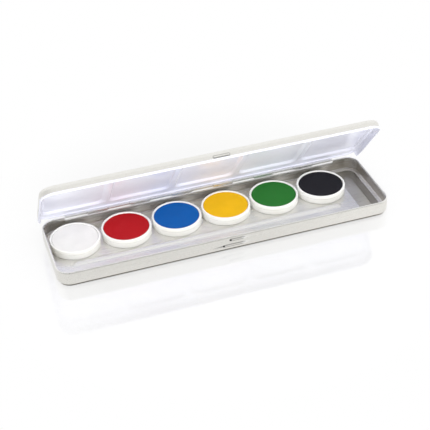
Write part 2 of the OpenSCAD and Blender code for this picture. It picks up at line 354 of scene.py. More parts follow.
@dataclass(frozen=True)
class PressedSheet:
    """A closed skin of sheet: a patch that looks down, a section round the edge, a patch that looks up."""

    outline: Outline
    section: Sequence[Bend]
    under: Height
    over: Height
    form: Form | None = None
    # Share of painted shade at each point.
    crease: PaintedShade | None = None
    # Painted highlight, laid in with the marks of rubbing.
    shine: PaintedShade | None = None

    def draft(self) -> MeshDraft:
        """Builds the skin ring by ring.

        Returns:
            The draft of the closed skin.
        """
        draft = MeshDraft()
        last: list[int] = []
        for number, bend in enumerate(self.section):
            shape = self.outline.grown(bend.grow, bend.radius)
            spots = [self._placed(point, bend) for point in shape.points()]
            ring = draft.ring(spots, bend.wear, bend.lines, self.crease)
            for k in ring:
                draft.marks["crease"][k] = max(bend.dull, draft.marks["crease"][k])
                # The painted highlight is laid in with the rubbing mark, where it brightens the tin like
                # polished metal.
                if self.shine is not None:
                    draft.marks["wear"][k] = max(bend.wear, self.shine(*draft.points[k]))
            if number == 0:
                draft.patch(ring, shape, self.under, False, self.crease)
            else:
                draft.skin(last, ring)
            if number == len(self.section) - 1:
                draft.patch(ring, shape, self.over, True, self.crease)
            last = ring
        return draft

    def _placed(self, point: EdgePoint, bend: Bend) -> tuple[float, float, float]:
        """Gives a point of a ring its height, and lets the form move it.

        Args:
            point: Point of the outline with its outward direction.
            bend: The line of the section.

        Returns:
            The point in space.
        """
        if self.form is None:
            return (point[0], point[1], bend.z)
        return self.form(point, bend.grow, bend.z)


def turned(profile: Sequence[tuple[float, float]], centre: tuple[float, float],
           dull: tuple[float, float] = (0.0, 0.0), steps: int = 128) -> MeshDraft:
    """Turns a profile round an upright axis.

    Args:
        profile: Radius and height of each line, from the axis under the piece to the axis on top.
        centre: Where the axis stands.
        dull: Lower and upper height between which the outside gets painted shade.
        steps: Number of pieces round the axis.

    Returns:
        The draft of the closed shape.
    """
    draft = MeshDraft()
    angles = [2 * math.pi * k / steps for k in range(steps)]
    widest = max(r for r, z in profile)
    rings = []
    for r, z in profile[1:-1]:
        # Painted shade on the outside within the band.
        level = 1.0 if dull[0] < z < dull[1] and r > widest - 0.45 else 0.0
        spots = [(centre[0] + r * math.cos(a), centre[1] + r * math.sin(a), z) for a in angles]
        rings.append(draft.ring(spots, crease=lambda x, y, z, level=level: level))
    draft.fan(rings[0], profile[0][1], upward=False)
    for first, second in zip(rings, rings[1:]):
        draft.skin(first, second)
    draft.fan(rings[-1], profile[-1][1], upward=True)
    return draft


@dataclass(frozen=True)
class PressedMark:
    """A long bump with round ends that is pressed outwards in an upright wall."""

    x: float
    z: float
    length: float
    radius: float
    out: float
    end_run: float = 1.8

    def away(self, x: float, z: float) -> float:
        """Gives how far a point lies from the bump's middle line."""
        reach = self.length / 2 - self.radius
        return math.hypot(max(0.0, abs(x - self.x) - reach), z - self.z)

    def lift(self, x: float, z: float) -> float:
        """Gives how far the wall stands out at x, z."""
        return self.out * smooth(1.25 * (1 - self.away(x, z) / self.radius))

    def edge(self, x: float, z: float) -> float:
        """Gives how near a point lies to the outline of the bump, from 0 to 1."""
        return smooth(1.2 - abs(self.away(x, z) / self.radius - 0.85) / 0.4)

    def crease(self, x: float, z: float) -> float:
        """Gives the share of painted shade round the bump: a dark pit at its left end and a line along its
        edge, stronger underneath.

        Args:
            x: Place along the wall.
            z: Height.

        Returns:
            The share, from 0 to 1.
        """
        reach = self.length / 2 - self.radius
        pit = smooth(1.6 - math.hypot(x - self.x + self.length / 2 - 0.4, z - self.z) / 0.6)
        under = 0.7 if z < self.z else 0.35
        fade = 1 - smooth((x - self.x - 0.6 * reach) / (0.4 * reach))
        # Painted shade: the pit and the edge line, fading toward the right end.
        return max(self.edge(x, z) * under * fade, pit)

    def shine(self, x: float, z: float) -> float:
        """Gives the share of painted highlight at the right end of the bump."""
        return smooth(1.7 - math.hypot((x - self.x - self.length / 2 + 1.2) / 2.2, z - self.z) / 0.7)

    def stations(self) -> list[float]:
        """Gives the stations along X that the bump needs, closest at its round ends.

        Returns:
            The stations, unsorted.
        """
        half = self.length / 2 + 0.2
        inner = half - self.end_run
        ends = [self.x + side * s for side in (-1, 1) for s in spread(inner, half, 0.2)]
        return ends + spread(self.x - inner, self.x + inner, 0.35)


class KnuckleRow:
    """A Geometry Nodes tree that repeats one rolled knuckle along the hinge."""

    def __init__(self) -> None:
        """Builds the tree with its named inputs."""
        self.tree = bpy.data.node_groups.new("Knuckle row", "GeometryNodeTree")
        face = self.tree.interface
        for name, kind in (("Knuckle", "Geometry"), ("Count", "Int"), ("Pitch", "Float"),
                           ("Finish", "Material")):
            face.new_socket(name, in_out="INPUT", socket_type="NodeSocket" + kind)
        face.new_socket("Row", in_out="OUTPUT", socket_type="NodeSocketGeometry")
        web = Web(self.tree)
        given = web.add("NodeGroupInput").outputs
        reach = web.math("MULTIPLY", web.math("ADD", given["Count"], -1.0), given["Pitch"])
        start = web.math("MULTIPLY", reach, -0.5)
        line = web.add("GeometryNodeMeshLine", {
            "Count": given["Count"],
            "Start Location": web.add("ShaderNodeCombineXYZ", {"X": start}).outputs[0],
            "Offset": web.add("ShaderNodeCombineXYZ", {"X": given["Pitch"]}).outputs[0]})
        placed = web.add("GeometryNodeInstanceOnPoints", {
            "Points": line.outputs["Mesh"], "Instance": given["Knuckle"]})
        solid = web.add("GeometryNodeRealizeInstances", {"Geometry": placed.outputs[0]})
        dressed = web.add("GeometryNodeSetMaterial", {
            "Geometry": solid.outputs[0], "Material": given["Finish"]})
        web.add("NodeGroupOutput", {"Row": dressed.outputs[0]})

    def apply(self, piece: bpy.types.Object, count: int, pitch: float,
              finish: bpy.types.Material) -> None:
        """Runs the tree on a knuckle and leaves the result as a plain mesh.

        Args:
            piece: The knuckle's object.
            count: Number of knuckles.
            pitch: Distance between two of them, in metres.
            finish: Material of the row.
        """
        modifier = piece.modifiers.new("Row", "NODES")
        modifier.node_group = self.tree
        values = {"Count": count, "Pitch": pitch, "Finish": finish}
        for item in self.tree.interface.items_tree:
            if item.in_out == "INPUT" and item.name in values:
                modifier[item.identifier] = values[item.name]
        seen = piece.evaluated_get(bpy.context.evaluated_depsgraph_get())
        mesh = bpy.data.meshes.new_from_object(seen)
        piece.modifiers.remove(modifier)
        mesh.name = piece.name
        piece.data = mesh


# ---------------------------------------------------------------- materials

class Web:
    """Adds nodes to a tree and joins them."""

    def __init__(self, tree: bpy.types.NodeTree) -> None:
        """Keeps the tree."""
        self.tree = tree

    def join(self, value: object, node: bpy.types.Node, name: str | int) -> None:
        """Gives one of a node's inputs a value or an output socket.

        Args:
            value: The value or the socket.
            node: The node that takes it.
            name: The input's name or number.
        """
        if isinstance(value, bpy.types.NodeSocket):
            self.tree.links.new(value, node.inputs[name])
        else:
            node.inputs[name].default_value = value

    def add(self, kind: str, inputs: dict | None = None, **settings: object) -> bpy.types.Node:
        """Adds one node.

        Args:
            kind: The node's type name.
            inputs: Values or output sockets for its inputs, by name or number.
            settings: The node's own properties.

        Returns:
            The node.
        """
        node = self.tree.nodes.new(kind)
        for name, value in settings.items():
            setattr(node, name, value)
        for name, value in (inputs or {}).items():
            self.join(value, node, name)
        return node

    def math(self, kind: str, *values: object, clamp: bool = False) -> bpy.types.NodeSocket:
        """Works out one step of arithmetic on numbers or sockets, held between 0 and 1 if asked."""
        node = self.add("ShaderNodeMath", dict(enumerate(values)), operation=kind, use_clamp=clamp)
        return node.outputs[0]

    def noise(self, place: object, scale: object, detail: float,
              rough: float = 0.5) -> bpy.types.NodeSocket:
        """Adds a noise texture and gives its level."""
        return self.add("ShaderNodeTexNoise", {
            "Vector": place, "Scale": scale, "Detail": detail, "Roughness": rough}).outputs[0]

    def mark(self, name: str) -> bpy.types.NodeSocket:
        """Gives one of the marks that the mesh carries on its points."""
        return self.add("ShaderNodeAttribute", attribute_name=name).outputs["Fac"]

    def blend(self, factor: object, first: object, second: object) -> bpy.types.NodeSocket:
        """Mixes two colours; the factor is the second one's share."""
        return self.add("ShaderNodeMix", {0: factor, 6: first, 7: second}, data_type="RGBA").outputs[2]

    def span(self, value: bpy.types.NodeSocket, low: float, high: float,
             start: float = 0.0, end: float = 1.0) -> bpy.types.NodeSocket:
        """Maps a value that runs from start to end onto low to high."""
        node = self.add("ShaderNodeMapRange", {
            "Value": value, "From Min": start, "From Max": end, "To Min": low, "To Max": high})
        return node.outputs[0]


class EffectKit:
    """Shader node groups that several finishes share; each gives one height or mask."""

    def __init__(self) -> None:
        """Builds the groups: each takes a Vector, a Pitch and at most one more value."""
        self.grain = self._group("Grain", "Height", self._grain, Pitch=(1000.0, 1000.0, 1000.0))
        self.drift = self._group("Drift", "Mask", self._drift, Pitch=40.0, Contrast=2.0)
        self.specks = self._group("Specks", "Mask", self._specks, Pitch=700.0, Size=0.16)
        self.rubbed_and_lit = self._group("Rubbed edge and highlight", "Mask", self._rubbed_and_lit, Pitch=300.0, Wear=0.0)

    @staticmethod
    def _group(name: str, output: str, fill: Callable[[Web, Sockets], bpy.types.NodeSocket],
               **inputs: float | tuple[float, float, float]) -> bpy.types.NodeTree:
        """Builds one group.

        Args:
            name: The group's name.
            output: Name of its output.
            fill: Adds its nodes and gives the socket of the result.
            inputs: Default of each input beside the place.

        Returns:
            The group.
        """
        tree = bpy.data.node_groups.new(name, "ShaderNodeTree")
        tree.interface.new_socket("Vector", in_out="INPUT", socket_type="NodeSocketVector")
        for label, default in inputs.items():
            kind = "NodeSocketVector" if isinstance(default, tuple) else "NodeSocketFloat"
            socket = tree.interface.new_socket(label, in_out="INPUT", socket_type=kind)
            socket.default_value = default
        tree.interface.new_socket(output, in_out="OUTPUT", socket_type="NodeSocketFloat")
        web = Web(tree)
        web.add("NodeGroupOutput", {output: fill(web, web.add("NodeGroupInput").outputs)})
        return tree

    @staticmethod
    def _grain(web: Web, given: Sockets) -> bpy.types.NodeSocket:
        """Fine stretched grain, such as rolling lines in sheet or tooth in a moulding."""
        scaled = web.add("ShaderNodeVectorMath", {0: given["Vector"], 1: given["Pitch"]},
                         operation="MULTIPLY")
        return web.noise(scaled.outputs[0], 1.0, 3.0, 0.6)

    @staticmethod
    def _drift(web: Web, given: Sockets) -> bpy.types.NodeSocket:
        """Slow change of tone over a surface, from 0 to 1."""
        middle = web.math("ADD", web.noise(given["Vector"], given["Pitch"], 2.0), -0.5)
        return web.math("MULTIPLY_ADD", middle, given["Contrast"], 0.5, clamp=True)

    @staticmethod
    def _specks(web: Web, given: Sockets) -> bpy.types.NodeSocket:
        """Small round specks scattered over a surface.

        Args:
            web: The group's node tree.
            given: The group's inputs: Vector, Pitch and Size.

        Returns:
            A mask that is 1 in a speck.
        """
        cells = web.add("ShaderNodeTexVoronoi", {"Vector": given["Vector"], "Scale": given["Pitch"]})
        edge = web.math("SUBTRACT", given["Size"], cells.outputs["Distance"])
        return web.math("MULTIPLY", edge, 12.0, clamp=True)

    @staticmethod
    def _rubbed_and_lit(web: Web, given: Sockets) -> bpy.types.NodeSocket:
        """Where handling has polished an edge, and where a highlight is painted, broken up by noise."""
        broken = web.span(web.noise(given["Vector"], given["Pitch"], 2.0), 0.6, 1.0, 0.35, 0.65)
        return web.math("MULTIPLY", broken, given["Wear"], clamp=True)


def dimmed(colour: Colour, share: float) -> Colour:
    """Gives a colour's share, with full alpha."""
    return tuple(share * level for level in colour[:3]) + (1.0,)


@dataclass
class Coat:
    """A material in the making: its nodes, its Principled shader and where a point lies on the object."""

    material: bpy.types.Material
    kit: EffectKit

    def __post_init__(self) -> None:
        """Finds the shader and adds the coordinates."""
        self.material.use_nodes = True
        self.web = Web(self.material.node_tree)
        self.shader = self.material.node_tree.nodes["Principled BSDF"]
        self.place = self.web.add("ShaderNodeTexCoord").outputs["Object"]

    def set(self, name: str, value: object) -> None:
        """Gives one of the shader's inputs a value or a socket."""
        self.web.join(value, self.shader, name)

    def effect(self, group: bpy.types.NodeTree, **inputs: object) -> bpy.types.NodeSocket:
        """Places a shared effect on the surface and gives its result."""
        return self.web.add("ShaderNodeGroup", {"Vector": self.place} | inputs, node_tree=group).outputs[0]

    def even_grain(self, pitch: float) -> bpy.types.NodeSocket:
        """Gives grain that is the same in every direction."""
        return self.effect(self.kit.grain, Pitch=(pitch, pitch, pitch))

    def drift(self, pitch: float, contrast: float) -> bpy.types.NodeSocket:
        """Gives a slow change of tone."""
        return self.effect(self.kit.drift, Pitch=pitch, Contrast=contrast)

    def gloss(self, height: bpy.types.NodeSocket, rough: float, below: float, above: float) -> None:
        """Lets the roughness follow a height, from below to above its middle value."""
        self.set("Roughness", self.web.span(height, rough - below, rough + above, 0.3, 0.7))

    def bump(self, height: bpy.types.NodeSocket, strength: float, depth: float) -> None:
        """Feeds a height into the shader's normal, with its share and its depth in metres."""
        node = self.web.add("ShaderNodeBump", {"Strength": strength, "Distance": depth, "Height": height})
        self.set("Normal", node.outputs[0])


@dataclass(frozen=True)
class Finish:
    """What every finish shares: its name, its colour and its roughness."""

    name: str
    colour: Colour
    roughness: float

    def make(self, kit: EffectKit) -> bpy.types.Material:
        """Builds the material.

        Args:
            kit: The shared effects.

        Returns:
            The material, ready for a slot.
        """
        coat = Coat(bpy.data.materials.new(self.name), kit)
        coat.material.diffuse_color = self.colour
        coat.set("Roughness", self.roughness)
        self.dress(coat, coat.web)
        return coat.material

    def dress(self, coat: Coat, web: Web) -> None:
        """Joins the surface effects to the coat's shader, with nodes of its web."""
        raise NotImplementedError


@dataclass(frozen=True)
class TinFinish(Finish):
    """Bright rolled tinplate under a thin clear lacquer, polished where it is handled, with painted
    highlight and painted shade at pressed marks.
    """

    shade: Colour = srgb(204, 202, 195)
    # Colour of polished edges, also used for the painted highlight at the ends of the catch ridges.
    polish_and_highlight: Colour = srgb(255, 255, 253)
    streak: Colour = srgb(206, 198, 186)
    # Colour of the painted shade round pressed marks and in the floor's channel.
    dull: Colour = srgb(40, 40, 44)
    rolled: tuple[float, float, float] = (14.0, 3400.0, 3400.0)
    drawn: tuple[float, float, float] = (14.0, 900.0, 1500.0)
    mottle_pitch: float = 1300.0
    mottle_share: float = 0.34

    def dress(self, coat: Coat, web: Web) -> None:
        """Lays the rolling lines, the mottle, the drawn streaks, the polished edges with the painted
        highlight, and the painted shade.

        Args:
            coat: The material being made, with its shader and effects.
            web: The material's node tree.
        """
        lines = coat.effect(coat.kit.grain, Pitch=self.rolled)
        mottle = coat.even_grain(self.mottle_pitch)
        streaks = coat.effect(coat.kit.grain, Pitch=self.drawn)
        streaked = web.math("MULTIPLY", web.span(streaks, 0.1, 0.9, 0.34, 0.68), web.mark("lines"))
        # Polished edges together with painted highlight, from the mark that carries both.
        rubbed_and_lit = coat.effect(coat.kit.rubbed_and_lit, Wear=web.mark("wear"), Pitch=260.0)
        toned = web.blend(web.span(mottle, 0.0, self.mottle_share, 0.3, 0.7), self.colour, self.shade)
        lined = web.blend(streaked, web.blend(rubbed_and_lit, toned, self.polish_and_highlight), self.streak)
        # Painted shade: the colour darkens toward a dark grey where the shade mark is laid.
        coat.set("Base Color", web.blend(web.mark("crease"), lined, self.dull))
        rough = web.span(lines, self.roughness - 0.07, self.roughness + 0.09, 0.3, 0.7)
        hazed = web.math("MULTIPLY_ADD", coat.drift(28.0, 2.2), 0.06, rough)
        coat.set("Roughness", web.math("MULTIPLY_ADD", rubbed_and_lit, -0.08, hazed))
        coat.set("Metallic", 1.0)
        relief = web.math("MULTIPLY_ADD", mottle, 0.4, lines)
        coat.bump(web.math("MULTIPLY_ADD", streaked, 0.6, relief), 0.2, 0.00003)


@dataclass(frozen=True)
class WireFinish(Finish):
    """Drawn steel wire with fine lines along it."""

    def dress(self, coat: Coat, web: Web) -> None:
        """Lays the drawing lines.

        Args:
            coat: The material being made, with its shader and effects.
            web: The material's node tree.
        """
        lines = coat.effect(coat.kit.grain, Pitch=(120.0, 6000.0, 6000.0))
        coat.set("Base Color", web.blend(coat.drift(60.0, 2.0), self.colour, dimmed(self.colour, 0.7)))
        coat.gloss(lines, self.roughness, 0.06, 0.1)
        coat.set("Metallic", 1.0)
        coat.bump(lines, 0.4, 0.00002)


@dataclass(frozen=True)
class EnamelFinish(Finish):
    """Glossy white mixing surface with a faint orange peel, with painted shade on its rim bead and toward
    its foot.
    """

    tint: Colour = srgb(228, 229, 246)
    # Colour of the painted shade; foot_z and clear_z give the heights over which it fades out.
    deep: Colour = srgb(217, 218, 231)
    foot_z: float = 0.010
    clear_z: float = 0.046

    def dress(self, coat: Coat, web: Web) -> None:
        """Lays the clouded tone, the painted shade toward the foot and on the rim bead, and the orange
        peel.

        Args:
            coat: The material being made, with its shader and effects.
            web: The material's node tree.
        """
        haze = coat.drift(190.0, 2.0)
        up = web.add("ShaderNodeSeparateXYZ", {0: coat.place}).outputs["Z"]
        clouded = web.blend(coat.drift(24.0, 1.6), self.colour, self.tint)
        # Painted shade: darker toward the lower end, by height in object space.
        toned = web.blend(web.span(up, 0.8, 0.0, self.foot_z, self.clear_z), clouded, self.deep)
        # Painted shade on the rim bead.
        coat.set("Base Color", web.blend(web.mark("wear"), toned, self.deep))
        coat.set("Roughness", web.span(haze, self.roughness - 0.03, self.roughness + 0.05))
        coat.set("Coat Weight", web.span(haze, 0.35, 0.25))
        coat.set("Coat Roughness", 0.12)
        coat.bump(coat.even_grain(520.0), 0.12, 0.00003)


@dataclass(frozen=True)
class MouldingFinish(Finish):
    """Injection-moulded white plastic with a satin tooth and painted shade in the line cut round it."""

    warmer: Colour = srgb(240, 239, 232)
    # Colour of the painted shade in the line cut round a cup.
    groove_shade: Colour = srgb(150, 148, 138)

    def dress(self, coat: Coat, web: Web) -> None:
        """Lays the warm drift, the painted shade in the cut line and the satin tooth.

        Args:
            coat: The material being made, with its shader and effects.
            web: The material's node tree.
        """
        tooth = coat.even_grain(1500.0)
        toned = web.blend(coat.drift(90.0, 1.8), self.colour, self.warmer)
        # Painted shade in the cut line.
        coat.set("Base Color", web.blend(web.span(web.mark("crease"), 0.0, 0.6), toned, self.groove_shade))
        coat.gloss(tooth, self.roughness, 0.05, 0.08)
        coat.set("IOR", 1.47)
        coat.bump(tooth, 0.2, 0.00002)


@dataclass(frozen=True)
class PaintFinish(Finish):
    """Pressed watercolour cake: matte, a little uneven in tone, with pores, a fine tooth and painted shade
    round its side.
    """

    pore: float = 0.12

    def dress(self, coat: Coat, web: Web) -> None:
        """Lays the uneven tone, the pores, the painted shade round the side and the tooth.

        Args:
            coat: The material being made, with its shader and effects.
            web: The material's node tree.
        """
        tooth = coat.even_grain(1900.0)
        pores = coat.effect(coat.kit.specks, Pitch=900.0, Size=self.pore)
        toned = web.blend(coat.drift(130.0, 2.0), self.colour, dimmed(self.colour, 0.93))
        pored = web.blend(web.math("MULTIPLY", pores, 0.5), toned, dimmed(self.colour, 0.7))
        # Painted shade on the cake's side, in the gap to its cup.
        coat.set("Base Color", web.blend(web.mark("crease"), pored, dimmed(self.colour, 0.35)))
        coat.set("Specular IOR Level", 0.14)
        coat.gloss(tooth, self.roughness, 0.08, 0.1)
        coat.bump(web.math("MULTIPLY_ADD", pores, -0.6, tooth), 0.3, 0.00006)


class Pigment(Enum):
    """The six cakes, from the left, each with its colour."""

    WHITE = srgb(240, 239, 235)
    RED = srgb(179, 10, 20)
    BLUE = srgb(0, 89, 168)
    YELLOW = srgb(238, 184, 8)
    GREEN = srgb(36, 113, 40)
    BLACK = srgb(25, 24, 29)

    @property
    def word(self) -> str:
        """The pigment's name in lower case, as the CAD nodes spell it."""
        return self.name.lower()


class FinishShelf:
    """Makes every finish once."""

    def __init__(self) -> None:
        """Builds the shared effects and the materials."""
        kit = EffectKit()
        self.tin = TinFinish("Tinplate", srgb(235, 233, 227), 0.30).make(kit)
        self.bright_tin = TinFinish("Bright tinplate", srgb(240, 239, 236), 0.27,
                                    shade=srgb(226, 225, 224)).make(kit)
        self.wire = WireFinish("Steel wire", srgb(170, 170, 172), 0.28).make(kit)
        self.enamel = EnamelFinish("White enamel", srgb(244, 245, 251), 0.20).make(kit)
        self.plastic = MouldingFinish("Pan plastic", srgb(245, 245, 242), 0.38).make(kit)
        self.paint = {pigment: PaintFinish("Paint " + pigment.word, pigment.value, 0.52).make(kit)
                      for pigment in Pigment}


# ---------------------------------------------------------------- sub-assemblies

def enter(piece: bpy.types.Object, body: str, slot: str, finish: bpy.types.Material,
          *nodes: str) -> None:
    """Dresses a piece and tells the frame where it belongs.

    Args:
        piece: The finished object.
        body: The body that it rides on.
        slot: The record's material slot; not used.
        finish: Its material.
        nodes: The CAD nodes that it stands for.
    """
    piece.data.materials.clear()
    piece.data.materials.append(finish)
    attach(piece, body)
    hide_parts(*nodes)
    LOG.info("%s rides on %s: %d faces", piece.name, body, len(piece.data.polygons))


@dataclass
class Hinge:
    """Where the hinge axis lies and how its knuckles are rolled, in millimetres."""

    sheet_t: float = 0.35
    bore_r: float = 0.55
    knuckle_l: float = 13.3
    knuckle_gap: float = 0.3
    edge_run: float = 0.12
    lid_count: int = 7
    axis_y: float = 0.0
    axis_z: float = 0.0
    open_angle: float = 0.0

    def __post_init__(self) -> None:
        """Reads the axis and the lid's resting angle from the frame's joint."""
        for joint in frame["joints"]:
            if joint["name"] == "lid_hinge":
                self.axis_y = joint["pos_m"][1] / MM
                self.axis_z = joint["pos_m"][2] / MM
                self.open_angle = -joint["range_deg"][0]

    @property
    def half_l(self) -> float:
        """Half the length of the whole row."""
        return (2 * self.lid_count - 1) * self.knuckle_l / 2

    @property
    def knuckle_r(self) -> float:
        """Outside radius of a knuckle."""
        return self.bore_r + self.sheet_t

    def opened(self) -> Matrix:
        """Turns what is built shut to the angle at which the lid rests open.

        Returns:
            The turn about the hinge, for points in metres.
        """
        axis = Vector((0, self.axis_y, self.axis_z)) * MM
        turn = Matrix.Rotation(math.radians(-self.open_angle), 4, "X")
        return Matrix.Translation(axis) @ turn @ Matrix.Translation(-axis)

    def strip(self, name: str, line: Sequence[tuple[float, float]], length: float,
              place: Matrix | None = None) -> bpy.types.Object:
        """Rolls one knuckle from a strip of sheet.

        Args:
            name: Name of the object.
            line: Middle line of the strip, y and z of each point.
            length: Length along the hinge.
            place: Moves the points, or None.

        Returns:
            The object.
        """
        draft = MeshDraft()
        sides = [self._offset(line, side * self.sheet_t / 2) for side in (1, -1)]
        loop = sides[0] + list(reversed(sides[1]))
        half, inner = length / 2, length / 2 - self.edge_run
        stations = (-half, -inner, inner, half)
        rings = [draft.ring(((x, y, z) for y, z in loop), 0.6) for x in stations]
        for first, second in zip(rings, rings[1:]):
            draft.skin(second, first)
        count = len(line)
        for ring, flip in ((rings[0], False), (rings[-1], True)):
            for k in range(count - 1):
                face = (ring[k], ring[k + 1], ring[2 * count - 2 - k], ring[2 * count - 1 - k])
                draft.faces.append(tuple(reversed(face)) if flip else face)
        return draft.finish(name, place)

    @staticmethod
    def _offset(line: Sequence[tuple[float, float]], away: float) -> list[tuple[float, float]]:
        """Moves a line sideways by a distance.

        Args:
            line: Points of the line.
            away: Distance, to the left of the way that the line runs.

        Returns:
            The moved points.
        """
        moved = []
        for k, (y, z) in enumerate(line):
            before, after = line[max(0, k - 1)], line[min(len(line) - 1, k + 1)]
            along = Vector((after[0] - before[0], after[1] - before[1])).normalized()
            moved.append((y - along.y * away, z + along.x * away))
        return moved


@dataclass
class Tin:
    """The base tray with its hem, its raised floor, its catch ridges and its share of the hinge."""

    hinge: Hinge
    shelf: FinishShelf
    row: KnuckleRow
    corner_r: float = 8.0
    overlap: float = 2.8
    foot_r: float = 1.2
    hem_t: float = 1.0
    hem_h: float = 2.4
    panel_inset: float = 7.0
    panel_rise: float = 0.7
    panel_r: float = 5.5
    slope: float = 0.8
    # Strongest painted shade on the floor's channel and panel.
    floor_painted_shade: float = 0.4
    ridge_foot: float = 2.5
    upper_ridge: tuple[float, float] = (4.0, 10.0)
    lower_ridge: tuple[float, float] = (2.0, 14.5)
    ridge_r: float = 0.8
    ridge_pitch: float = 3.5
    ridge_out: float = 0.3
    notch_clearance: float = 0.15
    half_l: float = 0.0
    half_w: float = 0.0
    height: float = 0.0

    def __post_init__(self) -> None:
        """Takes the overall sizes from the CAD tray and the hinge axis."""
        low, high = box_mm("base_tray")
        self.half_l = (high.x - low.x) / 2
        self.half_w = self.hinge.axis_y - 0.6
        self.height = self.hinge.axis_z + 0.7

    @property
    def rim_z(self) -> float:
        """Height of the shut lid's rim."""
        return self.height - self.overlap

    @property
    def ridges(self) -> tuple[PressedMark, PressedMark]:
        """The two ridges that the thumb pushes on.

        Returns:
            The upper ridge and the lower one.
        """
        upper_z = self.rim_z + 0.4
        heights = (upper_z, upper_z - self.ridge_pitch)
        return tuple(PressedMark(x, z, length, self.ridge_r, self.ridge_out)
                     for (x, length), z in zip((self.upper_ridge, self.lower_ridge), heights))

    def outline(self) -> Outline:
        """The tray's plan with the stations that its ridges and its hinge cut need.

        Returns:
            The plan, which every ring of the tray grows from.
        """
        cut = self.hinge.half_l + self.hinge.knuckle_gap
        stops_x = [s for mark in self.ridges for s in mark.stations()]
        stops_x += [s for side in (-1, 1) for s in (side * (cut - 0.05), side * (cut + 0.05))]
        stops_x += spread(-self.half_l, self.half_l, 8.0)
        return Outline(self.half_l, self.half_w, self.corner_r).with_stops(stops_x, spread(-20, 20, 5.0))

    def section(self) -> list[Bend]:
        """The section from the middle of the underside round the rim to the middle of the floor.

        Returns:
            The lines of the section in order.
        """
        t, r, half = self.hinge.sheet_t, self.foot_r, self.hem_t / 2
        fine_from, foot, lip = self.rim_z - 4.6, self.height - self.hem_h, 0.15
        lines = [Bend(-g, z, 0.1, radius) for g, z, radius in reversed(self._step())]
        lines += rolled((-r, r), r, 270, 180, 7, wear=0.4)
        lines += upright(0.0, r + 0.6, fine_from, 0.6, wear=0.15)
        lines += upright(0.0, fine_from + 0.2, self.height - 0.8, 0.2, wear=0.15)
        lines += rolled((-half, self.height - half), half, 180, 0, 10, wear=0.6)
        lines += upright(-self.hem_t, self.height - 1.0, foot + lip, 0.6, wear=0.3, lines=0.6)
        lines += rolled((-self.hem_t + lip, foot + lip), lip, 180, 270, 3, wear=0.3)
        lines += [Bend(-t - 0.05, foot), Bend(-t, foot - 0.1)]
        lines += upright(-t, foot - 0.4, fine_from, 0.3, lines=1.0) + [Bend(-t, 2.0, lines=1.0)]
        # Painted shade at the foot of the inner wall.
        lines += rolled((-r, r), r - t, 180, 270, 7, lines=0.6, dull=0.2)
        # Painted shade on the channel and the raised panel, left off at the middle of the step so that it
        # reads as a painted highlight line.
        lines += [Bend(-g, z + t, 0.0, radius, 0.5, self.floor_painted_shade * abs(2 * z / self.panel_rise - 1))
                  for g, z, radius in self._step()]
        return lines

    def _step(self) -> list[tuple[float, float, float]]:
        """Shapes the step from the channel up to the panel.

        Returns:
            Inset, height and corner radius of each line.
        """
        high = self.panel_rise
        start = self.panel_inset - self.slope
        lines = [(start + self.slope * k / 8, high * smooth(k / 8)) for k in range(9)]
        lines = [(3.2, 0.0)] + lines + [(self.panel_inset + 0.6, high)]
        free = self.corner_r - self.foot_r
        return [(g, z, free + (self.panel_r - free) * min(1.0, (g - self.foot_r) / 4.0)
                 - max(0.0, g - self.panel_inset)) for g, z in lines]

    def form(self, point: EdgePoint, grow: float, z: float) -> tuple[float, float, float]:
        """Lowers the rim under the hinge and presses the catch ridges.

        Args:
            point: Point of the ring with its outward direction.
            grow: How far the ring stands out from the outline.
            z: Height of the ring.

        Returns:
            The moved point.
        """
        x, y, _, ny = point
        notch_z = self.hinge.axis_z - self.hinge.knuckle_r - self.notch_clearance
        foot = self.height - self.hem_h
        if ny > STRAIGHT and abs(x) < self.hinge.half_l + self.hinge.knuckle_gap:
            share = min(1.0, max(0.0, (z - foot + 3.0) / 3.0))
            return (x, y, z - (self.height - notch_z) * share)
        if ny < -STRAIGHT and grow > -self.hinge.sheet_t - TOUCH and z > self.ridge_foot:
            y -= max(mark.lift(x, z) for mark in self.ridges)
        return (x, y, z)

    def on_front(self, y: float, z: float) -> bool:
        """Tells whether a point lies on the outside of the front wall, over its foot."""
        return y <= -self.half_w + TOUCH and z >= self.ridge_foot

    def crease(self, x: float, y: float, z: float) -> float:
        """Gives the share of painted shade on the front wall round the catch ridges."""
        return max(mark.crease(x, z) for mark in self.ridges) if self.on_front(y, z) else 0.0

    def shine(self, x: float, y: float, z: float) -> float:
        """Gives the share of painted highlight on the front wall at the right ends of the catch ridges."""
        return max(mark.shine(x, z) for mark in self.ridges) if self.on_front(y, z) else 0.0

    def tray(self) -> bpy.types.Object:
        """Builds the pressed tray.

        Returns:
            The tray.
        """
        floor = self.panel_rise + self.hinge.sheet_t
        sheet = PressedSheet(self.outline(), self.section(), lambda x, y: self.panel_rise,
                             lambda x, y: floor, self.form, self.crease, self.shine)
        return sheet.draft().finish("tray_sheet")

    def knuckles(self) -> bpy.types.Object:
        """Rolls the tray's knuckles: the back wall goes up and back over the wire.

        Returns:
            The row of six.
        """
        hinge = self.hinge
        middle = hinge.bore_r + hinge.sheet_t / 2
        wall_y = self.half_w - hinge.sheet_t / 2
        line = [(wall_y, z) for z in spread(hinge.axis_z - 2.2, hinge.axis_z - 0.4, 0.6)]
        line += arc((hinge.axis_y, hinge.axis_z), middle, 180, -150, 26)
        piece = hinge.strip("tray_knuckles", line, hinge.knuckle_l - 2 * hinge.knuckle_gap)
        self.row.apply(piece, hinge.lid_count - 1, 2 * hinge.knuckle_l * MM, self.shelf.bright_tin)
        return piece

